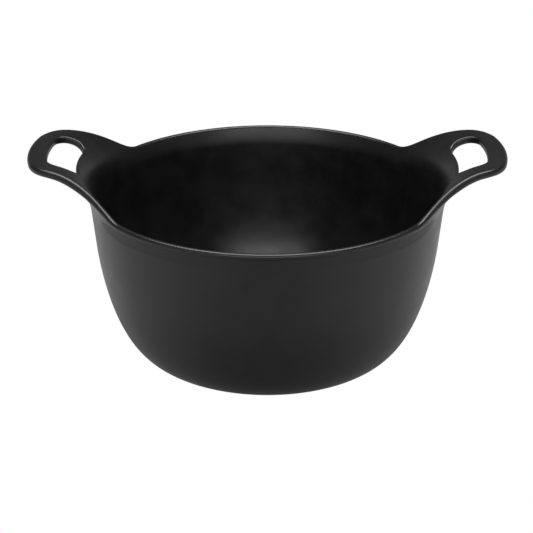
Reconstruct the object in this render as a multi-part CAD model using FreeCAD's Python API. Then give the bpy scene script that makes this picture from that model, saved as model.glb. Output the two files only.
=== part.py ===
import FreeCAD, Part
import math
import os

from FreeCAD import Base

# Open cast iron pot with two winged handles, in millimetres.
# Origin: centre of the base, +Z up, handles along X, front along -Y.
# The real pot is one iron pouring. It is split here into the bowl and its two handles,
# which meet face to face on the throat plane and on two upright planes each.

# --- driving dimensions: bowl ---
wall_top_radius = 117.9        # outside of the wall where it starts to flare
wall_draft = 2.4               # how much narrower the wall is at its foot
throat_height = 104.0          # the wall starts to flare here, and the handles split off here
corner_width = 39.3            # rounded corner, seen from above
corner_height = 80.0           # rounded corner, seen from the side
corner_reach = 23.9            # pull of the corner's curve along the base
corner_rise = 31.0             # pull of the corner's curve along the wall
wall_thickness = 4.0
floor_thickness = 5.0
foot_ring_width = 9.0          # ring that the pot stands on
foot_recess_depth = 0.8

# --- driving dimensions: lip and handles ---
edge_radius = 2.7              # rounding of the lip and of the handles' edges
lip_overhang = 2.8             # how far the lip stands out past the wall
throat_lean = 6.0              # degrees from upright at the throat
flare_rise = 21.1              # pull of the flare's curve upward from the throat
flare_reach = 25.2             # pull of the flare's curve inward from the tip
flare_tip_droop = 5.1          # degrees by which the flare turns down again at the tip
middle_flare_rise = 40.4       # the same three across the middle of a handle, which is flatter
middle_flare_reach = 7.1
middle_flare_tip_droop = -5.9
middle_full_turn = 13.0        # degrees from the X axis up to which the middle's sizes hold
middle_end_turn = 27.0         # degrees from the X axis past which the flare's own sizes hold
handle_rise = 34.9             # middle of the metal at the tip, above the throat
handle_reach = 38.0            # from the middle of the lip to the middle of the tip edge
tip_arc_radius = 99.0          # bow of the tip, seen from above
grip_corner_radius = 22.0      # handle corner, seen from above
notch_arc_radius = 110.0       # hollow between the lip and the handle's corner

# --- driving dimensions: hand hole ---
hole_width = 18.4
hole_half_length = 27.7
hole_bow = 3.5                 # how far both long sides bow outward between the hole's ends
grip_bar_width = 13.3          # metal between the hole and the tip
side_bar_width = 16.1          # metal between the hole and the handle's side
hole_inner_corner_radius = 6.3
hole_outer_corner_radius = 9.6
hole_edge_radius = 1.6

# --- how finely the handles' curved skin is laid out ---
sections_per_handle = 72
points_across_flare = 9
points_round_edge = 7
split_margin = 2.0             # degrees past the notch at which a handle splits off
turn_step = 0.001              # small turn, in radians, for measuring how the edge slants
height_tolerance = 0.01        # an edge is level if it rises less than this
select_margin = 0.1            # slack when the hand hole's edges are looked up by place

# --- sizes that follow from those ---
wall_foot_radius = wall_top_radius - wall_draft
base_flat_radius = wall_foot_radius - corner_width
lip_line_radius = wall_top_radius + lip_overhang - edge_radius
tip_line_radius = lip_line_radius + handle_reach
flare_tip_height = throat_height + handle_rise
grip_half_length = hole_half_length + side_bar_width - edge_radius
hole_outer_x = tip_line_radius + edge_radius - grip_bar_width
hole_inner_x = hole_outer_x - hole_width

origin = Base.Vector(0, 0, 0)
upright = Base.Vector(0, 0, 1)
bisections = 50


def handle_outline_arcs():
    """Half of the +X handle's edge line from above, as arcs of (centre, radius, last angle).

    The tip's arc has its centre on the X axis, the corner's arc rolls inside it, and the
    hollow's arc touches the corner's arc and the circle of the lip from outside.
    """
    tip_centre = Base.Vector(tip_line_radius - tip_arc_radius, 0, 0)
    corner_y = grip_half_length - grip_corner_radius
    corner_x = tip_centre.x + math.sqrt((tip_arc_radius - grip_corner_radius) ** 2 - corner_y ** 2)
    corner_centre = Base.Vector(corner_x, corner_y, 0)
    lip_gap = lip_line_radius + notch_arc_radius
    corner_gap = grip_corner_radius + notch_arc_radius
    distance = corner_centre.Length
    swing = math.acos((lip_gap ** 2 + distance ** 2 - corner_gap ** 2) / (2 * lip_gap * distance))
    notch_angle = math.atan2(corner_y, corner_x) + swing
    notch_centre = Base.Vector(math.cos(notch_angle), math.sin(notch_angle), 0) * lip_gap
    away_from_tip = (corner_centre - tip_centre).normalize()
    to_notch = (notch_centre - corner_centre).normalize()
    tip_end = corner_centre + away_from_tip * grip_corner_radius
    corner_end = corner_centre + to_notch * grip_corner_radius
    return [
        (tip_centre, tip_arc_radius, math.atan2(tip_end.y, tip_end.x)),
        (corner_centre, grip_corner_radius, math.atan2(corner_end.y, corner_end.x)),
        (notch_centre, notch_arc_radius, notch_angle),
    ]


def edge_line_radius(angle, arcs):
    """Radius of the middle of the rounded edge at an angle from the +X axis."""
    turn = abs(angle)
    for centre, radius, last_angle in arcs:
        if turn <= last_angle:
            forward = centre.x * math.cos(turn) + centre.y * math.sin(turn)
            root = math.sqrt(max(radius ** 2 - centre.dot(centre) + forward ** 2, 0.0))
            # the ray meets the hollow's circle on its near side, and the others on their far side
            hollow = centre.Length > tip_line_radius
            return forward - root if hollow else forward + root
    return lip_line_radius


def smooth_share(fraction):
    """Eased from 0 to 1, level at both ends."""
    return fraction * fraction * (3 - 2 * fraction)


def flare_poles(rise, reach, tip_droop):
    """Poles of the middle of the metal from the throat to the tip, as radius in X and height in Z."""
    lean = math.radians(throat_lean)
    droop = math.radians(tip_droop)
    throat = Base.Vector(wall_top_radius - wall_thickness / 2, 0, throat_height)
    tip = Base.Vector(tip_line_radius, 0, flare_tip_height)
    return [
        throat,
        throat + Base.Vector(math.sin(lean), 0, math.cos(lean)) * rise,
        tip - Base.Vector(math.cos(droop), 0, -math.sin(droop)) * reach,
        tip,
    ]


def flare_curve(angle):
    """Middle of the metal at an angle from the +X axis: flatter across the middle of a handle."""
    fade = (math.radians(middle_end_turn) - abs(angle)) / math.radians(middle_end_turn - middle_full_turn)
    middle_share = smooth_share(min(max(fade, 0.0), 1.0))
    side_poles = flare_poles(flare_rise, flare_reach, flare_tip_droop)
    middle_poles = flare_poles(middle_flare_rise, middle_flare_reach, middle_flare_tip_droop)
    poles = [side + (middle - side) * middle_share for side, middle in zip(side_poles, middle_poles)]
    curve = Part.BezierCurve()
    curve.setPoles(poles)
    return curve


def parameter_at_radius(curve, radius):
    """Curve parameter at which the flare reaches a radius."""
    low, high = 0.0, 1.0
    for step in range(bisections):
        middle = (low + high) / 2
        if curve.value(middle).x < radius:
            low = middle
        else:
            high = middle
    return high


def metal_half_thickness(fraction):
    """Half the metal's thickness, from the wall's at the throat to the edge's at its end."""
    return wall_thickness / 2 + (edge_radius - wall_thickness / 2) * smooth_share(fraction)


def flare_section(curve, line_radius, edge_stretch):
    """Points of one upright section: up the inside, round the edge, down the outside."""
    end = parameter_at_radius(curve, line_radius)
    inside = []
    outside = []
    for step in range(points_across_flare):
        fraction = step / (points_across_flare - 1)
        tangent = curve.tangent(end * fraction)[0]
        square = Base.Vector(-tangent.z, 0, tangent.x)
        half = metal_half_thickness(fraction)
        middle = curve.value(end * fraction)
        if step == 0:
            # the section stands level on the throat plane
            square = Base.Vector(-1, 0, 0)
        inside.append(middle + square * half)
        outside.append(middle - square * half)
    forward = curve.tangent(end)[0]
    upward = Base.Vector(-forward.z, 0, forward.x)
    centre = curve.value(end)
    rounding = []
    for step in range(1, points_round_edge):
        turn = math.pi * step / points_round_edge
        rise = upward * (edge_radius * math.cos(turn))
        rounding.append(centre + rise + forward * (edge_radius * edge_stretch * math.sin(turn)))
    return inside + rounding + outside[::-1]


def turned(point, angle):
    """A section's point, turned about the axis."""
    return Base.Vector(point.x * math.cos(angle), point.x * math.sin(angle), point.z)


def even_parameters(rows):
    """Curve parameters for points in rows, spaced as the points are on average."""
    parameters = [0.0]
    for step in range(1, len(rows[0])):
        gaps = [(row[step] - row[step - 1]).Length for row in rows]
        parameters.append(parameters[-1] + sum(gaps) / len(gaps))
    return parameters


def curve_through(points, parameters):
    """Smooth curve through points at given parameters."""
    curve = Part.BSplineCurve()
    curve.interpolate(Points=points, Parameters=parameters)
    return curve


def surface_through(rows):
    """Smooth surface through rows of points: a curve for each row, then curves across them."""
    columns = list(zip(*rows))
    around = even_parameters(rows)
    along = even_parameters(columns)
    row_curves = [curve_through(row, around) for row in rows]
    pole_columns = zip(*[curve.getPoles() for curve in row_curves])
    column_curves = [curve_through(list(poles), along) for poles in pole_columns]
    surface = Part.BSplineSurface()
    surface.buildFromPolesMultsKnots(
        [curve.getPoles() for curve in column_curves],
        row_curves[0].getMultiplicities(), column_curves[0].getMultiplicities(),
        row_curves[0].getKnots(), column_curves[0].getKnots(),
        False, False, row_curves[0].Degree, column_curves[0].Degree)
    return surface


def handle_body(arcs, split_angle):
    """The +X handle with the stretch of wall that carries it, before its hand hole."""
    rows = []
    for step in range(sections_per_handle + 1):
        angle = split_angle * (2 * step / sections_per_handle - 1)
        radius = edge_line_radius(angle, arcs)
        further = edge_line_radius(angle + turn_step, arcs)
        nearer = edge_line_radius(angle - turn_step, arcs)
        stretch = math.hypot(1.0, (further - nearer) / (2 * turn_step * radius))
        section = flare_section(flare_curve(angle), radius, stretch)
        rows.append([turned(point, angle) for point in section])
    skin = surface_through(rows).toShape()
    throat_edges = [edge for edge in skin.Edges if edge.BoundBox.ZLength < height_tolerance]
    side_edges = [edge for edge in skin.Edges if edge.BoundBox.ZLength > height_tolerance]
    closing_lines = []
    for edge in side_edges:
        closing_lines.append(Part.makeLine(edge.Vertexes[0].Point, edge.Vertexes[-1].Point))
    faces = [skin]
    for side, line in zip(side_edges, closing_lines):
        faces.append(Part.Face(Part.Wire([side, line])))
    throat_loop = Part.__sortEdges__(throat_edges + closing_lines)
    faces.append(Part.Face(Part.Wire(throat_loop)))
    shell = Part.makeShell(faces)
    shell.sewShape()
    body = Part.makeSolid(shell)
    if body.Volume < 0:
        body.reverse()
    return body


def hand_hole_cutter():
    """Upright prism for the +X handle's hand hole, its long sides bowed like the tip."""
    low, high = -hole_half_length, hole_half_length
    inner_end, outer_end = hole_inner_x - hole_bow, hole_outer_x - hole_bow
    corners = [Base.Vector(inner_end, low, 0), Base.Vector(outer_end, low, 0),
               Base.Vector(outer_end, high, 0), Base.Vector(inner_end, high, 0)]
    outline = Part.Wire([
        Part.makeLine(corners[0], corners[1]),
        Part.Arc(corners[1], Base.Vector(hole_outer_x, 0, 0), corners[2]).toShape(),
        Part.makeLine(corners[2], corners[3]),
        Part.Arc(corners[3], Base.Vector(hole_inner_x, 0, 0), corners[0]).toShape(),
    ])
    prism = Part.Face(outline).extrude(Base.Vector(0, 0, 2 * flare_tip_height))
    middle_x = (inner_end + outer_end) / 2
    for outer, radius in ((True, hole_outer_corner_radius), (False, hole_inner_corner_radius)):
        corner_edges = []
        for edge in prism.Edges:
            box = edge.BoundBox
            at_end = min(abs(box.YMin - low), abs(box.YMin - high)) < height_tolerance
            if box.ZLength > flare_tip_height and at_end and (box.XMin > middle_x) == outer:
                near = outer_end if outer else inner_end
                if abs(box.XMin - near) < height_tolerance:
                    corner_edges.append(edge)
        prism = prism.makeFillet(radius, corner_edges)
    return prism


def handle(arcs, split_angle):
    """The +X handle with its hand hole, whose edges are rounded."""
    body = handle_body(arcs, split_angle).cut(hand_hole_cutter())
    low_x, high_x = hole_inner_x - hole_bow - select_margin, hole_outer_x + select_margin
    reach_y = hole_half_length + select_margin
    mouth_edges = []
    for edge in body.Edges:
        box = edge.BoundBox
        in_hole = box.XMin > low_x and box.XMax < high_x and box.YMin > -reach_y and box.YMax < reach_y
        if in_hole and edge.Curve.TypeId != "Part::GeomLine":
            mouth_edges.append(edge)
    return body.makeFillet(hole_edge_radius, mouth_edges)


def corner_curve(flat_radius, flat_height, wall_radius, reach, rise):
    """Rounded corner from the flat to the wall, as radius in X and height in Z."""
    along_wall = Base.Vector(wall_top_radius - wall_foot_radius, 0, throat_height - corner_height)
    along_wall.normalize()
    wall_foot = Base.Vector(wall_radius, 0, corner_height)
    curve = Part.BezierCurve()
    curve.setPoles([
        Base.Vector(flat_radius, 0, flat_height),
        Base.Vector(flat_radius + reach, 0, flat_height),
        wall_foot - along_wall * rise,
        wall_foot,
    ])
    return curve.toShape()


def bowl_below_throat():
    """Floor, rounded corner and wall, turned from one section."""
    axis_foot = Base.Vector(0, 0, foot_recess_depth)
    recess_edge = Base.Vector(base_flat_radius - foot_ring_width, 0, foot_recess_depth)
    ring_inside = Base.Vector(recess_edge.x + foot_recess_depth, 0, 0)
    ring_outside = Base.Vector(base_flat_radius, 0, 0)
    wall_foot = Base.Vector(wall_foot_radius, 0, corner_height)
    wall_top = Base.Vector(wall_top_radius, 0, throat_height)
    inner_top = Base.Vector(wall_top_radius - wall_thickness, 0, throat_height)
    inner_foot = Base.Vector(wall_foot_radius - wall_thickness, 0, corner_height)
    floor_edge = Base.Vector(base_flat_radius, 0, floor_thickness)
    floor_middle = Base.Vector(0, 0, floor_thickness)
    outer_corner = corner_curve(ring_outside.x, 0, wall_foot.x, corner_reach, corner_rise)
    inner_reach = corner_reach - wall_thickness / 2
    inner_rise = corner_rise - wall_thickness / 2
    inner_corner = corner_curve(floor_edge.x, floor_edge.z, inner_foot.x, inner_reach, inner_rise)
    section = Part.Wire([
        Part.makeLine(axis_foot, recess_edge),
        Part.makeLine(recess_edge, ring_inside),
        Part.makeLine(ring_inside, ring_outside),
        outer_corner,
        Part.makeLine(wall_foot, wall_top),
        Part.makeLine(wall_top, inner_top),
        Part.makeLine(inner_top, inner_foot),
        inner_corner,
        Part.makeLine(floor_edge, floor_middle),
        Part.makeLine(floor_middle, axis_foot),
    ])
    return Part.Face(section).revolve(origin, upright, 360)


def lip_between_handles(split_angle):
    """The front and back stretches of flared wall and rounded lip, between the handles."""
    points = flare_section(flare_curve(split_angle), lip_line_radius, 1.0)
    skin = curve_through(points, even_parameters([points]))
    section = Part.Face(Part.Wire([skin.toShape(), Part.makeLine(points[-1], points[0])]))
    split_degrees = math.degrees(split_angle)
    stretches = []
    for start in (split_degrees, 180 + split_degrees):
        turned_section = section.copy()
        turned_section.rotate(origin, upright, start)
        sweep = 180 - 2 * split_degrees
        stretches.append(turned_section.revolve(origin, upright, sweep))
    return stretches


def bowl(split_angle):
    """The bowl with the two stretches of lip between the handles."""
    body = bowl_below_throat()
    for stretch in lip_between_handles(split_angle):
        body = body.fuse(stretch)
    return body.removeSplitter()


def save(shape, name):
    """Write one piece as parts/NAME.step, with a line about it."""
    solid = shape.Solids[0]
    solid.exportStep("parts/" + name + ".step")
    box = solid.BoundBox
    print("%-14s valid %s, solids %d, volume %.1f cm3, X %.1f..%.1f, Y %.1f..%.1f, Z %.1f..%.1f" % (
        name, solid.isValid(), len(shape.Solids), solid.Volume / 1000,
        box.XMin, box.XMax, box.YMin, box.YMax, box.ZMin, box.ZMax))


def main():
    """Build the three pieces and write them."""
    os.makedirs("parts", exist_ok=True)
    arcs = handle_outline_arcs()
    notch_angle = arcs[-1][-1]
    split_angle = notch_angle + math.radians(split_margin)
    right_handle = handle(arcs, split_angle)
    left_handle = right_handle.mirror(origin, Base.Vector(1, 0, 0))
    save(bowl(split_angle), "bowl")
    save(left_handle, "left_handle")
    save(right_handle, "right_handle")
    print("notch at %.2f degrees" % math.degrees(notch_angle))


main()
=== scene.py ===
"""Open cast iron pot with two winged handles: the visible casting, its iron finish and the studio.

Lengths are in metres in the row frame: +Z up, handles along X, front along -Y.
"""

import logging
import math
from dataclasses import dataclass, field
from enum import Enum

import bmesh
import bpy
import numpy as np
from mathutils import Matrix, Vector


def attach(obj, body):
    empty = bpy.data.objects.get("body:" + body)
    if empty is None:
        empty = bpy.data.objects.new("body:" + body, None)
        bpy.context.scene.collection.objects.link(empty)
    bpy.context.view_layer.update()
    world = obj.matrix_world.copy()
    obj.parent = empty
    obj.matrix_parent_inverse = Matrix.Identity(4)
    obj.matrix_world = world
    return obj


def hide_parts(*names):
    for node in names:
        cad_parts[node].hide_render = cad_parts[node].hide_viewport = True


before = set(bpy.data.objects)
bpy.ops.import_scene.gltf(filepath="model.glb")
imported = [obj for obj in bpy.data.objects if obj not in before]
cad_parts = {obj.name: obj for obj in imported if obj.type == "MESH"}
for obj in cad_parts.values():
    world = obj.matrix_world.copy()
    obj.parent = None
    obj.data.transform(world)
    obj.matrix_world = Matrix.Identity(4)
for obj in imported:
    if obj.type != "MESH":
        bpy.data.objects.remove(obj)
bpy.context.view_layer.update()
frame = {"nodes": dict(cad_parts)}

MM = 0.001
BODY = "root"
WELD = 2e-7
TINY = 1e-12
HALVINGS = 40
BLACK = (0.0, 0.0, 0.0, 1.0)
WHITE = (1.0, 1.0, 1.0, 1.0)

log = logging.getLogger("pot")


class Side(Enum):
    """Which way a handle points along X."""

    LEFT = -1.0
    RIGHT = 1.0


class Face(Enum):
    """Which face of the flared metal, by its direction from the middle of the metal."""

    INSIDE = 1.0
    OUTSIDE = -1.0


def smooth_step(value: np.ndarray) -> np.ndarray:
    """Ease from 0 to 1, level at both ends.

    Args:
        value: Numbers to ease; below 0 gives 0 and above 1 gives 1.

    Returns:
        The eased numbers.
    """
    held = np.clip(value, 0.0, 1.0)
    return held * held * (3.0 - 2.0 * held)


def bezier(poles: np.ndarray, at: np.ndarray) -> np.ndarray:
    """Points of a cubic curve, or of one curve for each parameter.

    Args:
        poles: Four (radius, height) poles, with any axes before them that the parameters have.
        at: Curve parameters from 0 to 1, of any shape.

    Returns:
        Points with a last axis of two.
    """
    t = np.asarray(at)[..., None]
    s = 1.0 - t
    first, second, third, last = (poles[..., number, :] for number in range(4))
    return s ** 3 * first + 3 * s * s * t * second + 3 * s * t * t * third + t ** 3 * last


def bezier_direction(poles: np.ndarray, at: np.ndarray) -> np.ndarray:
    """Unit tangents of a cubic curve, or of one curve for each parameter.

    Args:
        poles: Four (radius, height) poles, with any axes before them that the parameters have.
        at: Curve parameters from 0 to 1, of any shape.

    Returns:
        Unit vectors with a last axis of two.
    """
    t = np.asarray(at)[..., None]
    s = 1.0 - t
    first, second, third = (poles[..., number + 1, :] - poles[..., number, :] for number in range(3))
    slope = s * s * first + 2 * s * t * second + t * t * third
    return slope / np.linalg.norm(slope, axis=-1, keepdims=True)


def unit(vectors: np.ndarray) -> np.ndarray:
    """Vectors scaled to length one along the last axis."""
    return vectors / np.maximum(np.linalg.norm(vectors, axis=-1, keepdims=True), TINY)


@dataclass
class Bowl:
    """Turned part of the casting: floor, rounded corner and wall up to the throat."""

    wall_top_radius: float = 117.9 * MM
    wall_draft: float = 2.4 * MM
    throat_height: float = 104.0 * MM
    corner_width: float = 39.3 * MM
    corner_height: float = 80.0 * MM
    corner_reach: float = 23.9 * MM
    corner_rise: float = 31.0 * MM
    wall: float = 4.0 * MM
    floor: float = 5.0 * MM
    ring_width: float = 9.0 * MM
    recess_depth: float = 0.8 * MM
    recess_slope: float = 2.4 * MM
    floor_rings: int = 16
    slope_rings: int = 6
    foot_rings: int = 4
    corner_rings: int = 40
    wall_rings: int = 10

    @property
    def wall_foot_radius(self) -> float:
        """Outside of the wall where the rounded corner ends."""
        return self.wall_top_radius - self.wall_draft

    @property
    def flat_radius(self) -> float:
        """Outside of the flat base."""
        return self.wall_foot_radius - self.corner_width

    def corner_poles(self, inset: float, lift: float) -> np.ndarray:
        """Poles of the rounded corner's curve.

        Args:
            inset: How far inside the outer wall the curve ends.
            lift: Height at which the curve leaves the flat.

        Returns:
            Four (radius, height) poles.
        """
        foot = np.array([self.wall_foot_radius - inset, self.corner_height])
        along_wall = unit(np.array([self.wall_draft, self.throat_height - self.corner_height]))
        return np.array([
            [self.flat_radius, lift],
            [self.flat_radius + self.corner_reach - inset / 2, lift],
            foot - along_wall * (self.corner_rise - inset / 2),
            foot,
        ])

    def wall_line(self, inset: float) -> np.ndarray:
        """Rows of the straight wall above the corner.

        Args:
            inset: How far inside the outer wall the rows run.

        Returns:
            Points (radius, height), from the corner up to the throat.
        """
        share = np.linspace(0.0, 1.0, self.wall_rings + 1)[1:, None]
        foot = np.array([self.wall_foot_radius - inset, self.corner_height])
        top = np.array([self.wall_top_radius - inset, self.throat_height])
        return foot + (top - foot) * share

    def outer_profile(self) -> np.ndarray:
        """Underside, rounded corner and outer wall, from the axis to the throat.

        Returns:
            Points (radius, height), without the one on the axis.
        """
        recess_edge = self.flat_radius - self.ring_width
        disc = np.linspace(0.0, 1.0, self.floor_rings + 1)[1:] * (recess_edge - self.recess_slope)
        share = np.linspace(0.0, 1.0, self.slope_rings + 1)[1:]
        slope = np.stack([
            recess_edge + self.recess_slope * (share - 1.0),
            self.recess_depth * (1.0 - smooth_step(share)),
        ], axis=-1)
        ring = np.linspace(recess_edge, self.flat_radius, self.foot_rings + 1)[1:]
        at = np.linspace(0.0, 1.0, self.corner_rings + 1)[1:]
        return np.concatenate([
            np.stack([disc, np.full_like(disc, self.recess_depth)], axis=-1),
            slope,
            np.stack([ring, np.zeros_like(ring)], axis=-1),
            bezier(self.corner_poles(0.0, 0.0), at),
            self.wall_line(0.0),
        ])

    def inner_profile(self) -> np.ndarray:
        """Inside floor, rounded corner and inner wall, from the axis to the throat.

        Returns:
            Points (radius, height), without the one on the axis.
        """
        disc = np.linspace(0.0, 1.0, self.floor_rings + 1)[1:] * self.flat_radius
        at = np.linspace(0.0, 1.0, self.corner_rings + 1)[1:]
        return np.concatenate([
            np.stack([disc, np.full_like(disc, self.floor)], axis=-1),
            bezier(self.corner_poles(self.wall, self.floor), at),
            self.wall_line(self.wall),
        ])


@dataclass
class HandleOutline:
    """Edge line of a handle seen from above: a bowed tip, two corners and two hollows."""

    lip_line_radius: float
    tip_line_radius: float
    tip_arc_radius: float = 99.0 * MM
    corner_radius: float = 22.0 * MM
    hollow_radius: float = 110.0 * MM
    grip_half_length: float = 41.1 * MM
    notch_angle: float = field(init=False)
    arcs: list[tuple] = field(init=False)

    def __post_init__(self) -> None:
        """Work out the arcs' centres and the angles at which they meet."""
        tip = np.array([self.tip_line_radius - self.tip_arc_radius, 0.0])
        corner_y = self.grip_half_length - self.corner_radius
        reach = self.tip_arc_radius - self.corner_radius
        corner = np.array([tip[0] + math.sqrt(reach ** 2 - corner_y ** 2), corner_y])
        lip_gap = self.lip_line_radius + self.hollow_radius
        corner_gap = self.corner_radius + self.hollow_radius
        distance = float(np.linalg.norm(corner))
        cosine = (lip_gap ** 2 + distance ** 2 - corner_gap ** 2) / (2 * lip_gap * distance)
        self.notch_angle = math.atan2(corner[1], corner[0]) + math.acos(cosine)
        hollow = lip_gap * np.array([math.cos(self.notch_angle), math.sin(self.notch_angle)])
        tip_end = corner + unit(corner - tip) * self.corner_radius
        corner_end = corner + unit(hollow - corner) * self.corner_radius
        self.arcs = [
            (tip, self.tip_arc_radius, math.atan2(tip_end[1], tip_end[0]), 1.0),
            (corner, self.corner_radius, math.atan2(corner_end[1], corner_end[0]), 1.0),
            (hollow, self.hollow_radius, self.notch_angle, -1.0),
        ]

    def radius_at(self, angle: np.ndarray) -> np.ndarray:
        """Distance from the axis to the edge line.

        Args:
            angle: Angles from the +X axis, in radians.

        Returns:
            Radii of the edge line at those angles.
        """
        turn = np.abs(angle)
        radius = np.full_like(turn, self.lip_line_radius)
        for centre, arc_radius, last_angle, side in reversed(self.arcs):
            forward = centre[0] * np.cos(turn) + centre[1] * np.sin(turn)
            root = np.sqrt(np.maximum(arc_radius ** 2 - centre @ centre + forward ** 2, 0.0))
            radius = np.where(turn <= last_angle, forward + side * root, radius)
        return radius


@dataclass
class HandHole:
    """Long hole through a handle, its long sides bowed like the tip."""

    inner_x: float
    outer_x: float
    half_length: float = 27.7 * MM
    bow: float = 3.5 * MM
    inner_corner: float = 6.3 * MM
    outer_corner: float = 9.6 * MM
    edge_rounding: float = 1.6 * MM
    arc_points: int = 64

    def contour(self, spread: float, counts: tuple[int, int]) -> np.ndarray:
        """Closed outline, with a set number of steps on each of its four sides.

        Args:
            spread: How far outside the hole's own wall the outline runs.
            counts: Steps along the hole's long sides and across its ends.

        Returns:
            Points (x, y): the -Y end from inside to outside, the outer side, the +Y end
            and the inner side, each starting in the middle of a rounded corner.
        """
        quarter = math.pi / 2
        bow_radius = (self.half_length ** 2 + self.bow ** 2) / (2 * self.bow)
        inner_bow = np.array([self.inner_x - bow_radius, 0.0])
        outer_bow = np.array([self.outer_x - bow_radius, 0.0])
        inner_y = self.half_length - self.inner_corner
        outer_y = self.half_length - self.outer_corner
        inner_x = inner_bow[0] + math.sqrt((bow_radius + self.inner_corner) ** 2 - inner_y ** 2)
        outer_x = outer_bow[0] + math.sqrt((bow_radius - self.outer_corner) ** 2 - outer_y ** 2)
        inner_lean = math.atan2(inner_y, inner_x - inner_bow[0])
        outer_lean = math.atan2(outer_y, outer_x - outer_bow[0])
        inner_middle = (3 * quarter + inner_lean) / 2
        outer_middle = (outer_lean + quarter) / 2
        inner_corner, outer_corner = np.array([inner_x, inner_y]), np.array([outer_x, outer_y])

        def arc(centre: np.ndarray, radius: float, start: float, end: float) -> np.ndarray:
            """Points of an arc from one angle to another."""
            turn = np.linspace(start, end, self.arc_points)
            return centre + radius * np.stack([np.cos(turn), np.sin(turn)], axis=-1)

        upper_end = np.concatenate([
            arc(outer_corner, self.outer_corner + spread, outer_middle, quarter),
            arc(inner_corner, self.inner_corner + spread, quarter, inner_middle),
        ])
        outer_half = np.concatenate([
            arc(outer_bow, bow_radius + spread, 0.0, outer_lean),
            arc(outer_corner, self.outer_corner + spread, outer_lean, outer_middle),
        ])
        inner_half = np.concatenate([
            arc(inner_corner, self.inner_corner + spread, inner_middle, 2 * quarter + inner_lean),
            arc(inner_bow, bow_radius - spread, inner_lean, 0.0),
        ])
        mirror = np.array([1.0, -1.0])
        outer_side = np.concatenate([outer_half[::-1] * mirror, outer_half])
        inner_side = np.concatenate([inner_half, inner_half[::-1] * mirror])
        lower_end = upper_end[::-1] * mirror
        long_count, short_count = counts
        sides = [
            (lower_end, short_count), (outer_side, long_count),
            (upper_end, short_count), (inner_side, long_count),
        ]
        return np.concatenate([self.even_steps(side, count)[:-1] for side, count in sides])

    @staticmethod
    def even_steps(line: np.ndarray, count: int) -> np.ndarray:
        """Points along a line, evenly spaced.

        Args:
            line: Points of the line.
            count: Number of steps to divide it into.

        Returns:
            count + 1 points.
        """
        gaps = np.linalg.norm(np.diff(line, axis=0), axis=1)
        along = np.concatenate([[0.0], np.cumsum(gaps)])
        at = np.linspace(0.0, along[-1], count + 1)
        return np.stack([np.interp(at, along, line[:, axis]) for axis in range(2)], axis=-1)


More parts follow.
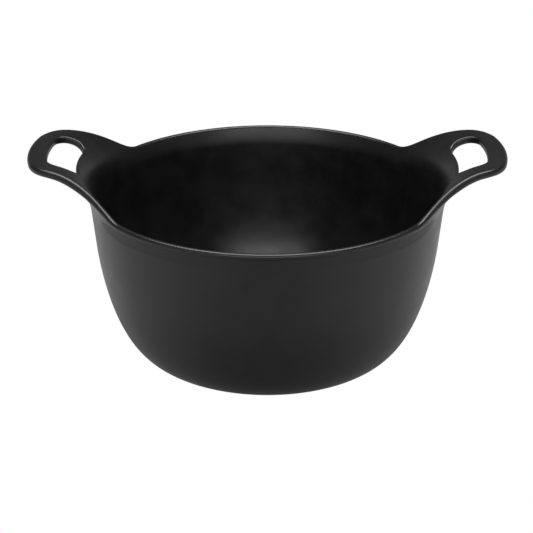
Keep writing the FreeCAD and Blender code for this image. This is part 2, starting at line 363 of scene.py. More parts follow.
@dataclass
class Flare:
    """Flared top of the wall: the rounded lip in front and behind, and a handle on each side."""

    bowl: Bowl
    edge_radius: float = 2.7 * MM
    lip_overhang: float = 2.8 * MM
    throat_lean: float = math.radians(6.0)
    rise: float = 21.1 * MM
    reach: float = 25.2 * MM
    tip_droop: float = math.radians(5.1)
    middle_rise: float = 40.4 * MM
    middle_reach: float = 7.1 * MM
    middle_tip_droop: float = math.radians(-5.9)
    middle_full: float = math.radians(13.0)
    middle_end: float = math.radians(27.0)
    handle_rise: float = 34.9 * MM
    handle_reach: float = 38.0 * MM
    grip_bar: float = 13.3 * MM
    hole_width: float = 18.4 * MM
    split_margin: float = math.radians(2.0)
    lip_radius: float = 2.0 * MM
    lip_fade: float = 14.0 * MM
    bead_fillet: float = 0.5 * MM
    bead_fade_in: float = 0.3
    bead_fade_out: float = 0.06
    squaring: float = 0.08
    lowest_hole_share: float = 0.2
    rows: int = 26
    row_crowding: float = 1.3
    handle_columns: int = 104
    lip_columns: int = 84
    hole_rows: tuple[int, int] = (9, 20)
    hole_half_columns: int = 16
    relax_steps: int = 900
    outline: HandleOutline = field(init=False)
    hole: HandHole = field(init=False)
    split_angle: float = field(init=False)

    def __post_init__(self) -> None:
        """Lay out the edge line and the hand hole, and place the ends of the handle."""
        lip_line = self.bowl.wall_top_radius + self.lip_overhang - self.edge_radius
        tip_line = lip_line + self.handle_reach
        self.outline = HandleOutline(lip_line, tip_line)
        outer_x = tip_line + self.edge_radius - self.grip_bar
        self.hole = HandHole(outer_x - self.hole_width, outer_x)
        self.split_angle = self.outline.notch_angle + self.split_margin

    def curve_poles(self, rise: float, reach: float, droop: float) -> np.ndarray:
        """Poles of the middle of the metal from the throat to the tip.

        Args:
            rise: Pull of the curve upward from the throat.
            reach: Pull of the curve inward from the tip.
            droop: Angle by which the curve turns down at the tip.

        Returns:
            Four (radius, height) poles.
        """
        throat = np.array([self.bowl.wall_top_radius - self.bowl.wall / 2, self.bowl.throat_height])
        tip = np.array([self.outline.tip_line_radius, self.bowl.throat_height + self.handle_rise])
        return np.array([
            throat,
            throat + rise * np.array([math.sin(self.throat_lean), math.cos(self.throat_lean)]),
            tip - reach * np.array([math.cos(droop), -math.sin(droop)]),
            tip,
        ])

    def poles_at(self, angle: np.ndarray) -> np.ndarray:
        """Poles of the flare's curve at each angle: flatter across the middle of a handle.

        Args:
            angle: Angles from the X axis.

        Returns:
            Four (radius, height) poles for each angle.
        """
        side = self.curve_poles(self.rise, self.reach, self.tip_droop)
        middle = self.curve_poles(self.middle_rise, self.middle_reach, self.middle_tip_droop)
        fade = (self.middle_end - np.abs(angle)) / (self.middle_end - self.middle_full)
        return side + (middle - side) * smooth_step(fade)[..., None, None]

    @staticmethod
    def parameter_at(poles: np.ndarray, radius: np.ndarray) -> np.ndarray:
        """Curve parameter at which the flare reaches a radius.

        Args:
            poles: Poles of the curve for each radius.
            radius: Radii to reach.

        Returns:
            Parameters from 0 to 1.
        """
        low, high = np.zeros_like(radius), np.ones_like(radius)
        for _ in range(HALVINGS):
            middle = (low + high) / 2
            below = bezier(poles, middle)[..., 0] < radius
            low, high = np.where(below, middle, low), np.where(below, high, middle)
        return high

    def columns(self) -> np.ndarray:
        """Angles of all upright rows of points, once round.

        Returns:
            Angles from the X axis, starting at the front end of the +X handle.
        """
        split = self.split_angle
        handle = np.linspace(-split, split, self.handle_columns, endpoint=False)
        lip = np.linspace(split, math.pi - split, self.lip_columns, endpoint=False)
        return np.concatenate([handle, lip, handle + math.pi, lip + math.pi])

    def row_shares(self) -> np.ndarray:
        """Share of the way to the edge at which each level row lies, crowded at the edge."""
        return 1.0 - (1.0 - np.linspace(0.0, 1.0, self.rows + 1)) ** self.row_crowding

    def share_at(self, angle: np.ndarray, radius: np.ndarray, face: Face) -> np.ndarray:
        """Share of the way to the edge at which a face of the metal reaches a radius.

        Args:
            angle: Angles from the X axis.
            radius: Radii to reach.
            face: Face of the metal.

        Returns:
            Shares from 0 to 1.
        """
        low, high = np.full_like(radius, self.lowest_hole_share), np.ones_like(radius)
        for _ in range(HALVINGS):
            middle = (low + high) / 2
            below = self.section(angle, middle, face)[..., 0] < radius
            low, high = np.where(below, middle, low), np.where(below, high, middle)
        return high

    def handle_layout(self, face: Face) -> tuple[np.ndarray, np.ndarray]:
        """Angle and share of every point of the +X handle, drawn in round the hand hole.

        Args:
            face: Face of the metal.

        Returns:
            Two arrays of columns by rows: angle from the X axis, and share of the way
            from the throat to the edge.
        """
        angles = np.linspace(-self.split_angle, self.split_angle, self.handle_columns + 1)
        angle, share = np.meshgrid(angles, self.row_shares(), indexing="ij")
        middle = self.handle_columns // 2
        low, high = middle - self.hole_half_columns, middle + self.hole_half_columns
        first, last = self.hole_rows
        long_steps, short_steps = 2 * self.hole_half_columns, last - first
        outline = self.hole.contour(self.hole.edge_rounding, (long_steps, short_steps))
        hole_angle = np.arctan2(outline[:, 1], outline[:, 0])
        hole_share = self.share_at(hole_angle, np.hypot(outline[:, 0], outline[:, 1]), face)
        moved = np.zeros(angle.shape + (2,))
        fixed = np.ones(angle.shape, bool)
        fixed[1:-1, 1:-1] = False
        for step, (i, j) in enumerate(self.hole_loop()):
            moved[i, j] = hole_angle[step] - angle[i, j], hole_share[step] - share[i, j]
            fixed[i, j] = True
        fixed[low + 1:high, first + 1:last] = True
        for _ in range(self.relax_steps):
            near = (moved[:-2, 1:-1] + moved[2:, 1:-1] + moved[1:-1, :-2] + moved[1:-1, 2:]) / 4
            moved[1:-1, 1:-1] = np.where(fixed[1:-1, 1:-1, None], moved[1:-1, 1:-1], near)
        return angle + moved[..., 0], share + moved[..., 1]

    def hole_loop(self) -> list[tuple[int, int]]:
        """Places of the points round the hand hole, in the contour's order.

        Returns:
            Column and row of each point.
        """
        middle = self.handle_columns // 2
        low, high = middle - self.hole_half_columns, middle + self.hole_half_columns
        first, last = self.hole_rows
        loop = [(low, j) for j in range(first, last)]
        loop += [(i, last) for i in range(low, high)]
        loop += [(high, j) for j in range(last, first, -1)]
        loop += [(i, first) for i in range(high, low, -1)]
        return loop

    def section(self, angle: np.ndarray, share: np.ndarray, face: Face) -> np.ndarray:
        """Points (radius, height) of one face of the flared metal.

        Args:
            angle: Angles from the X axis.
            share: Shares of the way from the throat to the edge.
            face: Face of the metal.

        Returns:
            Points with a last axis of two.
        """
        edge_line = self.outline.radius_at(angle)
        poles = self.poles_at(angle)
        at = self.parameter_at(poles, edge_line) * share
        lip_share = 1.0 - smooth_step((edge_line - self.outline.lip_line_radius) / self.lip_fade)
        edge_half = self.edge_radius + (self.lip_radius - self.edge_radius) * lip_share
        shift = (self.edge_radius - self.lip_radius) * lip_share * smooth_step(share)
        middle = bezier(poles, at) + shift[..., None]
        direction = bezier_direction(poles, at)
        square = np.stack([-direction[..., 1], direction[..., 0]], axis=-1)
        level = smooth_step(share / self.squaring)[..., None]
        square = unit(square * level + np.array([-1.0, 0.0]) * (1.0 - level))
        wall_half = self.bowl.wall / 2
        half = (wall_half + (edge_half - wall_half) * smooth_step(share))[..., None]
        points = middle + square * half * face.value
        return points if face is Face.INSIDE else self.with_bead(points, lip_share, share)

    def surface(self, angle: np.ndarray, share: np.ndarray, face: Face) -> np.ndarray:
        """Points of one face of the flared metal, with a last axis of three."""
        return self.turned(self.section(angle, share, face), angle)

    def with_bead(self, outside: np.ndarray, lip_share: np.ndarray, share: np.ndarray) -> np.ndarray:
        """Outer points with the upright wall kept below the lip, so that the lip stands out.

        Args:
            outside: Outer (radius, height) points of the plain flare.
            lip_share: 1 along the lip, falling to 0 along a handle.
            share: Share of the way from the throat to the edge.

        Returns:
            Outer (radius, height) points.
        """
        shift = self.edge_radius - self.lip_radius
        lip_line = self.outline.lip_line_radius
        poles = self.curve_poles(self.rise, self.reach, self.tip_droop)
        centre = bezier(poles, self.parameter_at(poles, np.array(lip_line))) + shift
        drop = centre[1] - outside[..., 1]
        under = np.abs(drop) >= self.lip_radius
        bulge = np.sqrt(np.maximum(self.lip_radius ** 2 - drop ** 2, 0.0))
        wall = np.full_like(bulge, self.bowl.wall_top_radius)
        bead = np.where(under, wall - 2 * self.bead_fillet, centre[0] + bulge)
        gap = np.clip(0.5 + (bead - wall) / (2 * self.bead_fillet), 0.0, 1.0)
        joined = wall + (bead - wall) * gap + self.bead_fillet * gap * (1.0 - gap)
        weight = lip_share ** 4 * smooth_step(1.0 + drop / self.lip_radius)
        weight = weight * smooth_step((1.0 - share) / self.bead_fade_out)
        weight = weight * smooth_step(share / self.bead_fade_in)
        kept = outside.copy()
        kept[..., 0] += weight * np.minimum(joined - outside[..., 0], 0.0)
        return kept

    @staticmethod
    def turned(points: np.ndarray, angle: np.ndarray) -> np.ndarray:
        """Section points (radius, height) turned about the axis to an angle."""
        radius, height, turn = np.broadcast_arrays(points[..., 0], points[..., 1], angle)
        return np.stack([radius * np.cos(turn), radius * np.sin(turn), height], axis=-1)


@dataclass
class Skin:
    """Surfaces of one piece, each a grid of points, gathered into one closed mesh."""

    name: str
    surfaces: list[tuple] = field(default_factory=list)

    def add(self, points: np.ndarray, gap: tuple[int, ...] = (), cut: bool = False) -> None:
        """Add a surface.

        Args:
            points: Grid of points, columns by rows.
            gap: First and last column and row of a gap in the grid.
            cut: Whether this is a hidden flat face that meets a neighbouring piece.
        """
        self.surfaces.append((points, gap, cut))

    @staticmethod
    def quads(points: np.ndarray, gap: tuple[int, ...], start: int) -> np.ndarray:
        """Corner numbers of a grid's faces.

        Args:
            points: Grid of points.
            gap: First and last column and row of a gap, or nothing.
            start: Number of the grid's first point.

        Returns:
            Four corner numbers for each face.
        """
        columns, rows = points.shape[:2]
        number = start + np.arange(columns * rows).reshape(columns, rows)
        faces = np.stack([number[:-1, :-1], number[1:, :-1], number[1:, 1:], number[:-1, 1:]], axis=-1)
        keep = np.ones(faces.shape[:2], bool)
        if gap:
            low, high, first, last = gap
            keep[low:high, first:last] = False
        return faces[keep]

    def mesh(self) -> bpy.types.Object:
        """Weld the surfaces into one closed mesh, with hidden cut faces flagged.

        Returns:
            The new object, linked to the scene.
        """
        points, faces, flags, start = [], [], [], 0
        for grid, gap, cut in self.surfaces:
            own = self.quads(grid, gap, start)
            points.append(grid.reshape(-1, 3))
            faces.append(own)
            flags.append(np.full(len(own), cut))
            start += len(points[-1])
        points, faces, flags = np.concatenate(points), np.concatenate(faces), np.concatenate(flags)
        keys = np.round(points / WELD).astype(np.int64)
        _, first, where = np.unique(keys, axis=0, return_index=True, return_inverse=True)
        corners = where.reshape(-1)[faces]
        polygons, kept = [], []
        for face, cut in zip(corners.tolist(), flags.tolist()):
            ring = list(dict.fromkeys(face))
            if len(ring) > 2:
                polygons.append(ring)
                kept.append(cut)
        made = bpy.data.meshes.new(self.name)
        made.from_pydata(points[first].tolist(), [], polygons)
        made.attributes.new("cut", "BOOLEAN", "FACE").data.foreach_set("value", kept)
        whole = bmesh.new()
        whole.from_mesh(made)
        open_edges = sum(1 for edge in whole.edges if len(edge.link_faces) != 2)
        bmesh.ops.recalc_face_normals(whole, faces=whole.faces)
        whole.to_mesh(made)
        whole.free()
        piece = bpy.data.objects.new(self.name, made)
        bpy.context.scene.collection.objects.link(piece)
        log.info("%s: %d points, %d faces, %d open edges", self.name, len(made.vertices),
                 len(made.polygons), open_edges)
        return piece


def shade_as_one(pieces: list[bpy.types.Object]) -> None:
    """Give pieces shared smooth normals, so that the casting shows no line where they meet.

    Args:
        pieces: Mesh objects whose visible faces carry on from one to the next.
    """
    places, normals, data = [], [], []
    for piece in pieces:
        mesh = piece.data
        points = np.empty(len(mesh.vertices) * 3)
        mesh.vertices.foreach_get("co", points)
        points = points.reshape(-1, 3)
        loops = np.empty(len(mesh.loops), np.int32)
        mesh.loops.foreach_get("vertex_index", loops)
        totals = np.empty(len(mesh.polygons), np.int32)
        mesh.polygons.foreach_get("loop_total", totals)
        face = np.empty(len(mesh.polygons) * 3)
        mesh.polygons.foreach_get("normal", face)
        area = np.empty(len(mesh.polygons))
        mesh.polygons.foreach_get("area", area)
        cut = np.empty(len(mesh.polygons), bool)
        mesh.attributes["cut"].data.foreach_get("value", cut)
        face = face.reshape(-1, 3)
        loop_face = np.repeat(np.arange(len(totals)), totals)
        weight = np.where(cut, 0.0, area)[loop_face, None]
        places.append(points[loops])
        normals.append(face[loop_face] * weight)
        data.append((mesh, face[loop_face], cut[loop_face]))
    keys = np.round(np.concatenate(places) / WELD).astype(np.int64)
    _, where = np.unique(keys, axis=0, return_inverse=True)
    where = where.reshape(-1)
    summed = np.zeros((where.max() + 1, 3))
    np.add.at(summed, where, np.concatenate(normals))
    smooth = unit(summed)[where]
    start = 0
    for mesh, flat, cut in data:
        own = np.where(cut[:, None], flat, smooth[start:start + len(flat)])
        start += len(flat)
        mesh.polygons.foreach_set("use_smooth", np.ones(len(mesh.polygons), bool))
        mesh.normals_split_custom_set(own.tolist())
        mesh.attributes.remove(mesh.attributes["cut"])


@dataclass
class Casting:
    """The whole iron pouring, shared out to the bowl and the two handles."""

    bowl: Bowl
    flare: Flare
    rounding_steps: int = 10
    hole_rounding_steps: int = 5

    def lip_strip(self, inside: np.ndarray, outside: np.ndarray, outward: np.ndarray) -> np.ndarray:
        """Half-round strip from the inside to the outside along the edge line.

        Args:
            inside: Inside points along the edge.
            outside: Outside points along the edge.
            outward: Unit vectors away from the metal.

        Returns:
            Strip of points, along the edge by round it.
        """
        middle = (inside + outside) / 2
        arm = (inside - outside) / 2
        half = np.linalg.norm(arm, axis=-1, keepdims=True)
        turn = np.linspace(0.0, math.pi, self.rounding_steps + 1)
        rows = [middle + arm * math.cos(a) + outward * half * math.sin(a) for a in turn]
        return np.stack(rows, axis=1)

    def hole_strip(self, top: np.ndarray, bottom: np.ndarray, wall: np.ndarray) -> np.ndarray:
        """Upright wall of the hand hole with a rounded edge at its top and bottom.

        Args:
            top: Upper points round the hole, just outside its wall.
            bottom: Lower points round the hole, just outside its wall.
            wall: Points (x, y) of the hole's own outline that go with them.

        Returns:
            Strip of points, round the hole by down it.
        """
        rounding = self.flare.hole.edge_rounding
        quarter = np.linspace(0.0, math.pi / 2, self.hole_rounding_steps + 1)
        rows = []
        for start, way in ((top, -1.0), (bottom, 1.0)):
            arc = []
            for turn in quarter:
                across = start[:, :2] + (wall - start[:, :2]) * math.sin(turn)
                level = start[:, 2:] + way * rounding * (1.0 - math.cos(turn))
                arc.append(np.concatenate([across, level], axis=1))
            rows += arc if way < 0 else arc[::-1]
        return np.stack(rows, axis=1)

    @staticmethod
    def away_from_metal(inside: np.ndarray, outside: np.ndarray) -> np.ndarray:
        """Unit vectors in the metal's plane, square to a closed run of edge points.

        Args:
            inside: Inside points along the edge, counter-clockwise seen from above.
            outside: Outside points along the edge.

        Returns:
            One vector for each point, away from the axis where the run goes round it.
        """
        middle = (inside + outside) / 2
        run = np.roll(middle, -1, axis=0) - np.roll(middle, 1, axis=0)
        return unit(np.cross(unit(run), unit(inside - outside)))

    def handle_sheets(self) -> list[np.ndarray]:
        """Inside and outside of the +X handle."""
        return [self.flare.surface(*self.flare.handle_layout(face), face) for face in Face]

    def lip_sheets(self) -> list[np.ndarray]:
        """Inside and outside of the lip on the +Y side, from one handle to the other.

        Returns:
            Two grids of points, columns by rows.
        """
        split = self.flare.split_angle
        angles = np.linspace(split, math.pi - split, self.flare.lip_columns + 1)
        angle, share = np.meshgrid(angles, self.flare.row_shares(), indexing="ij")
        nearest = np.minimum(angle, np.pi - angle)
        sheets = [self.flare.surface(nearest, share, face) for face in Face]
        for sheet in sheets:
            sheet[..., 0] *= np.where(angle > math.pi / 2, -1.0, 1.0)
        return sheets

    def edge_strip(self, handle: list[np.ndarray], lip: list[np.ndarray]) -> np.ndarray:
        """Rounded edge right round the pot, so that it runs on smoothly where pieces meet.

        Args:
            handle: Inside and outside of the +X handle.
            lip: Inside and outside of the lip on the +Y side.

        Returns:
            Closed strip of points, along the edge by round it.
        """
        half_turn = np.array([-1.0, -1.0, 1.0])
        lines = []
        for handle_sheet, lip_sheet in zip(handle, lip):
            half = np.concatenate([handle_sheet[:-1, -1], lip_sheet[:-1, -1]])
            lines.append(np.concatenate([half, half * half_turn]))
        strip = self.lip_strip(*lines, self.away_from_metal(*lines))
        return np.concatenate([strip, strip[:1]])

    def hole_wall(self, handle: list[np.ndarray]) -> np.ndarray:
        """Wall of the +X handle's hand hole.

        Args:
            handle: Inside and outside of the handle.

        Returns:
            Closed strip of points, round the hole by down it.
        """
        flare = self.flare
        columns, rows = np.array(flare.hole_loop()).T
        counts = (2 * flare.hole_half_columns, flare.hole_rows[1] - flare.hole_rows[0])
        rims = (sheet[columns, rows] for sheet in handle)
        strip = self.hole_strip(*rims, flare.hole.contour(0.0, counts))
        return np.concatenate([strip, strip[:1]])

    def build(self) -> dict[str, Skin]:
        """Make the three pieces' surfaces.

        Returns:
            Skins by name.
        """
        flare, bowl = self.flare, self.bowl
        handle, lip = self.handle_sheets(), self.lip_sheets()
        edge, hole_wall = self.edge_strip(handle, lip), self.hole_wall(handle)
        foot = np.stack([sheet[:, 0] for sheet in handle], axis=1)
        middle = flare.handle_columns // 2
        gap = (middle - flare.hole_half_columns, middle + flare.hole_half_columns, *flare.hole_rows)
        turns = {side: np.array([side.value, side.value, 1.0]) for side in (Side.RIGHT, Side.LEFT)}
        starts = {Side.RIGHT: 0, Side.LEFT: flare.handle_columns + flare.lip_columns}

        skins = {}
        for side, turn in turns.items():
            skin = Skin(side.name.lower() + "_handle")
            own_edge = edge[starts[side]:starts[side] + flare.handle_columns + 1]
            for sheet in handle:
                skin.add(sheet * turn, gap=gap)
            skin.add(own_edge)
            skin.add(hole_wall * turn)
            self.add_ends(skin, *(sheet * turn for sheet in handle), own_edge)
            skin.add(foot * turn, cut=True)
            skins[skin.name] = skin

        skin = Skin("bowl")
        columns = flare.columns()
        closed = np.append(columns, columns[0] + 2 * math.pi)
        for profile in (bowl.outer_profile(), bowl.inner_profile()):
            rings = flare.turned(profile[None, :, :], closed[:, None])
            centre = np.zeros((len(closed), 1, 3))
            centre[..., 2] = profile[0, 1]
            skin.add(np.concatenate([centre, rings], axis=1))
        for side, turn in turns.items():
            first = starts[side] + flare.handle_columns
            own_edge = edge[first:first + flare.lip_columns + 1]
            for sheet in lip:
                skin.add(sheet * turn)
            skin.add(own_edge)
            self.add_ends(skin, *(sheet * turn for sheet in lip), own_edge)
            skin.add(foot * turn, cut=True)
        skins[skin.name] = skin
        return skins

    def add_ends(self, skin: Skin, inside: np.ndarray, outside: np.ndarray, strip: np.ndarray) -> None:
        """Close both upright ends of a stretch of flare with hidden flat faces.

        Args:
            skin: Piece to close.
            inside: Inside points, columns by rows.
            outside: Outside points, columns by rows.
            strip: Rounded edge, along it by round it.
        """
        for end in (0, -1):
            skin.add(np.stack([inside[end], outside[end]], axis=0), cut=True)
            skin.add(self.end_fan(strip[end]), cut=True)

    @staticmethod
    def end_fan(arc: np.ndarray) -> np.ndarray:
        """Narrow grid that fills a half-round end, between one half of its arc and the other."""
        steps = len(arc) // 2 + 1
        return np.stack([arc[:steps], arc[::-1][:steps]], axis=1)


def eased(tree: bpy.types.NodeTree, source: bpy.types.NodeSocket, span: tuple,
          levels: tuple) -> bpy.types.NodeSocket:
    """Value that eases from one level to another.

    Args:
        tree: Node tree to add to.
        source: Value that drives it.
        span: Driving values at which the easing starts and ends.
        levels: Levels at the start and the end.

    Returns:
        The eased value.
    """
    node = tree.nodes.new("ShaderNodeMapRange")
    node.interpolation_type = "SMOOTHSTEP"
    for name, value in zip(("From Min", "From Max", "To Min", "To Max"), (*span, *levels)):
        node.inputs[name].default_value = value
    tree.links.new(source, node.inputs["Value"])
    return node.outputs["Result"]


def worked_out(tree: bpy.types.NodeTree, operation: str,
               *values: bpy.types.NodeSocket) -> bpy.types.NodeSocket:
    """Result of a sum on one or two values.

    Args:
        tree: Node tree to add to.
        operation: Blender's name of the sum.
        *values: Values that go in.

    Returns:
        The result.
    """
    node = tree.nodes.new("ShaderNodeMath")
    node.operation = operation
    for value, socket in zip(values, node.inputs):
        tree.links.new(value, socket)
    return node.outputs["Value"]


@dataclass(frozen=True)
class Mottle:
    """Cloudy unevenness of the iron, at one scale."""

    size: float
    detail: float
    roughness: float
    depth: float = 0.0


@dataclass(frozen=True)
class IronFinish:
    """Satin black cast iron: dark, faintly uneven in gloss, with a fine cast grain."""

    name: str = "satin_black_iron"
    dark: tuple = (0.0042, 0.0043, 0.0045, 1.0)
    light: tuple = (0.0072, 0.0072, 0.0073, 1.0)
    edge_grey: tuple = (0.020, 0.020, 0.0205, 1.0)
    smoothest: float = 0.29
    roughest: float = 0.36
    shine: float = 0.5
    clouds: Mottle = Mottle(17.0 * MM, 3.0, 0.55)
    grain: Mottle = Mottle(1.3 * MM, 3.0, 0.6, 0.012 * MM)
    ripple: Mottle = Mottle(9.0 * MM, 2.0, 0.5, 0.045 * MM)
    colour_range: tuple = (0.3, 0.7)
    gloss_range: tuple = (0.25, 0.75)
    edge_range: tuple = (0.56, 0.68)
    edge_mix: float = 0.6

    def material(self) -> bpy.types.Material:
        """Make the finish's node material.

        Returns:
            The new material.
        """
        made = bpy.data.materials.new(self.name)
        made.use_nodes = True
        tree = made.node_tree
        shader = tree.nodes["Principled BSDF"]
        shader.inputs["Specular IOR Level"].default_value = self.shine
        clouds, grain, ripple = (
            self.pattern(tree, mottle) for mottle in (self.clouds, self.grain, self.ripple)
        )
        patches = self.blend(tree, eased(tree, clouds, self.colour_range, (0.0, 1.0)), self.dark, self.light)
        # Sharp convex edges, found by pointiness, are mixed towards a paler grey.
        edges = tree.nodes.new("ShaderNodeNewGeometry").outputs["Pointiness"]
        edge_share = eased(tree, edges, self.edge_range, (0.0, self.edge_mix))
        tree.links.new(self.blend(tree, edge_share, patches, self.edge_grey), shader.inputs["Base Color"])
        gloss = eased(tree, clouds, self.gloss_range, (self.smoothest, self.roughest))
        tree.links.new(gloss, shader.inputs["Roughness"])
        fine = self.bump(tree, grain, self.grain.depth, None)
        tree.links.new(self.bump(tree, ripple, self.ripple.depth, fine), shader.inputs["Normal"])
        return made

    @staticmethod
    def pattern(tree: bpy.types.NodeTree, mottle: Mottle) -> bpy.types.NodeSocket:
        """Add a cloudy pattern from 0 to 1.

        Args:
            tree: Node tree to add to.
            mottle: Scale and character of the pattern.

        Returns:
            The pattern.
        """
        node = tree.nodes.new("ShaderNodeTexNoise")
        node.inputs["Scale"].default_value = 1.0 / mottle.size
        node.inputs["Detail"].default_value = mottle.detail
        node.inputs["Roughness"].default_value = mottle.roughness
        place = tree.nodes.new("ShaderNodeTexCoord").outputs["Object"]
        tree.links.new(place, node.inputs["Vector"])
        return node.outputs["Fac"]

    @staticmethod
    def blend(tree: bpy.types.NodeTree, share: bpy.types.NodeSocket,
              first: tuple | bpy.types.NodeSocket, second: tuple) -> bpy.types.NodeSocket:
        """Mix two colours.

        Args:
            tree: Node tree to add to.
            share: Share of the second colour.
            first: Colour, or the colour that another node gives.
            second: Colour mixed into it.

        Returns:
            The mixed colour.
        """
        node = tree.nodes.new("ShaderNodeMix")
        node.data_type = "RGBA"
        colour_inputs = [socket for socket in node.inputs if socket.type == "RGBA"]
        tree.links.new(share, node.inputs["Factor"])
        if isinstance(first, tuple):
            colour_inputs[0].default_value = first
        else:
            tree.links.new(first, colour_inputs[0])
        colour_inputs[1].default_value = second
        return next(socket for socket in node.outputs if socket.type == "RGBA")

    @staticmethod
    def bump(tree: bpy.types.NodeTree, height: bpy.types.NodeSocket, depth: float,
             under: bpy.types.NodeSocket | None) -> bpy.types.NodeSocket:
        """Add relief.

        Args:
            tree: Node tree to add to.
            height: Height pattern from 0 to 1.
            depth: Height of the relief.
            under: Normal that the relief is added to, or None for the surface's own.

        Returns:
            The changed normal.
        """
        node = tree.nodes.new("ShaderNodeBump")
        node.inputs["Distance"].default_value = depth
        tree.links.new(height, node.inputs["Height"])
        if under is not None:
            tree.links.new(under, node.inputs["Normal"])
        return node.outputs["Normal"]


@dataclass(frozen=True)
class Softbox:
    """Rectangular studio light that points at the pot."""

    name: str
    place: tuple
    width: float
    height: float
    power: float

    def light(self, target: Vector) -> bpy.types.Object:
        """Add the light to the scene.

        Args:
            target: Point that the light faces.

        Returns:
            The light object.
        """
        lamp = bpy.data.lights.new(self.name, "AREA")
        lamp.shape = "RECTANGLE"
        lamp.size, lamp.size_y = self.width, self.height
        lamp.energy = self.power
        stand = bpy.data.objects.new(self.name, lamp)
        stand.location = self.place
        stand.rotation_mode = "QUATERNION"
        stand.rotation_quaternion = (target - Vector(self.place)).to_track_quat("-Z", "Y")
        bpy.context.scene.collection.objects.link(stand)
        return stand


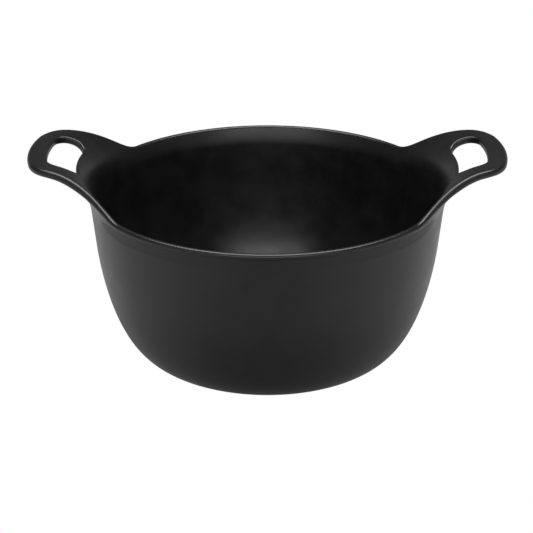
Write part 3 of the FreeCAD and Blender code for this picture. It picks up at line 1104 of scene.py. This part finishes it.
@dataclass
class Studio:
    """Glowing pale floor, soft light and the camera."""

    aim_height: float = 56.6 * MM
    camera_offset: float = -0.6 * MM
    camera_distance: float = 1025.8 * MM
    camera_height: float = 512.3 * MM
    camera_pitch: float = math.radians(23.97)
    lens: float = 110.74
    sensor: float = 36.0
    nearest: float = 0.05
    farthest: float = 50.0
    floor_half: float = 6.0
    floor_gap: float = 0.05 * MM
    front_sky: float = 0.62
    back_sky: float = 0.18
    overhead_sky: float = 0.3
    front_to_back: tuple = (-1.0, 0.1)
    low_to_overhead: tuple = (0.15, 0.6)
    # Glow of the floor: the lower front level is painted shade, and the dimming close to the pot is a
    # painted contact shadow.
    floor_front: float = 0.45
    floor_sides: float = 0.68
    front_to_side: tuple = (0.1, 1.0)
    painted_floor_shade: float = 0.4
    shade_radii: tuple = (0.07, 0.22)
    softboxes: tuple = (
        Softbox("top_softbox", (0.0, 0.1, 1.5), 1.9, 0.8, 34.0),
        Softbox("front_softbox", (0.0, -1.5, 0.84), 1.9, 0.22, 8.5),
    )

    @staticmethod
    def strongest(tree: bpy.types.NodeTree, soft: bpy.types.NodeSocket) -> bpy.types.NodeSocket:
        """Strength that is full where the surround itself is seen, and soft where it lights the pot."""
        seen = tree.nodes.new("ShaderNodeLightPath").outputs["Is Camera Ray"]
        return worked_out(tree, "MAXIMUM", soft, seen)

    def world(self) -> None:
        """White surround that lights the pot more softly than it looks."""
        world = bpy.data.worlds.new("studio")
        bpy.context.scene.world = world
        world.use_nodes = True
        tree = world.node_tree
        way = tree.nodes.new("ShaderNodeSeparateXYZ")
        tree.links.new(tree.nodes.new("ShaderNodeTexCoord").outputs["Generated"], way.inputs["Vector"])
        level = eased(tree, way.outputs["Y"], self.front_to_back, (self.front_sky, self.back_sky))
        overhead = eased(tree, way.outputs["Z"], self.low_to_overhead, (1.0, self.overhead_sky))
        soft = worked_out(tree, "MULTIPLY", level, overhead)
        background = tree.nodes["Background"]
        tree.links.new(self.strongest(tree, soft), background.inputs["Strength"])
        background.inputs["Color"].default_value = WHITE

    def floor(self) -> bpy.types.Object:
        """Wide glowing floor, so that the pot stands on plain white without a shadow.

        Returns:
            The floor object.
        """
        half, level = self.floor_half, -self.floor_gap
        mesh = bpy.data.meshes.new("studio_floor")
        outline = [(-half, -half, level), (half, -half, level), (half, half, level), (-half, half, level)]
        mesh.from_pydata(outline, [], [(0, 1, 2, 3)])
        mesh.materials.append(self.floor_glow())
        floor = bpy.data.objects.new("studio_floor", mesh)
        bpy.context.scene.collection.objects.link(floor)
        return floor

    def floor_glow(self) -> bpy.types.Material:
        """Glow of the floor, which lights the pot though it is no lamp: brighter at the pot's sides than in
        front, and shaded close to the pot. The darker front is painted shade and the dimming near the pot is
        a painted contact shadow; the camera sees the floor plain white.

        Returns:
            The new material.
        """
        paint = bpy.data.materials.new("glowing_floor")
        paint.use_nodes = True
        tree = paint.node_tree
        shader = tree.nodes["Principled BSDF"]
        shader.inputs["Base Color"].default_value = BLACK
        shader.inputs["Specular IOR Level"].default_value = 0.0
        shader.inputs["Emission Color"].default_value = WHITE
        place = tree.nodes.new("ShaderNodeNewGeometry").outputs["Position"]
        aside = tree.nodes.new("ShaderNodeVectorMath")
        aside.operation = "NORMALIZE"
        tree.links.new(place, aside.inputs[0])
        split = tree.nodes.new("ShaderNodeSeparateXYZ")
        tree.links.new(aside.outputs["Vector"], split.inputs["Vector"])
        # Painted shade: the glow is dimmer in front of the pot than at its sides.
        sideways = worked_out(tree, "ABSOLUTE", split.outputs["X"])
        level = eased(tree, sideways, self.front_to_side, (self.floor_front, self.floor_sides))
        # Painted contact shadow: the glow fades close to the pot.
        distance = tree.nodes.new("ShaderNodeVectorMath")
        distance.operation = "LENGTH"
        tree.links.new(place, distance.inputs[0])
        shade = eased(tree, distance.outputs["Value"], self.shade_radii, (self.painted_floor_shade, 1.0))
        soft = worked_out(tree, "MULTIPLY", level, shade)
        tree.links.new(self.strongest(tree, soft), shader.inputs["Emission Strength"])
        return paint

    def camera(self) -> bpy.types.Object:
        """Long-lens camera in front of and above the pot.

        Returns:
            The camera object.
        """
        data = bpy.data.cameras.new("camera")
        data.lens = self.lens
        data.sensor_width = self.sensor
        data.clip_start, data.clip_end = self.nearest, self.farthest
        camera = bpy.data.objects.new("camera", data)
        camera.location = (self.camera_offset, -self.camera_distance, self.camera_height)
        camera.rotation_euler = (math.pi / 2 - self.camera_pitch, 0.0, 0.0)
        bpy.context.scene.collection.objects.link(camera)
        bpy.context.scene.camera = camera
        return camera

    def build(self) -> None:
        """Set up the surround, floor, lights and camera."""
        bpy.context.scene.view_settings.view_transform = "Standard"
        self.world()
        self.floor()
        for softbox in self.softboxes:
            softbox.light(Vector((0.0, 0.0, self.aim_height)))
        self.camera()


def corners(box: tuple) -> list[list[float]]:
    """Lowest and highest corner of a box as plain lists."""
    return [list(corner) for corner in box]


def main() -> None:
    """Build the pot and its studio, and report each piece."""
    log.info("the frame holds %s", ", ".join(frame["nodes"]))
    bowl = Bowl()
    casting = Casting(bowl, Flare(bowl))
    iron = IronFinish().material()
    pieces = []
    for node, skin in casting.build().items():
        skin.name = node + "_casting"
        piece = skin.mesh()
        piece.data.materials.append(iron)
        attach(piece, BODY)
        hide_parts(node)
        pieces.append(piece)
    shade_as_one(pieces)
    Studio().build()
    for piece in pieces:
        log.info("%s is in place, %.0f mm wide", piece.name, piece.dimensions.x / MM)


if __name__ == "__main__":
    logging.basicConfig(level=logging.INFO)
    main()
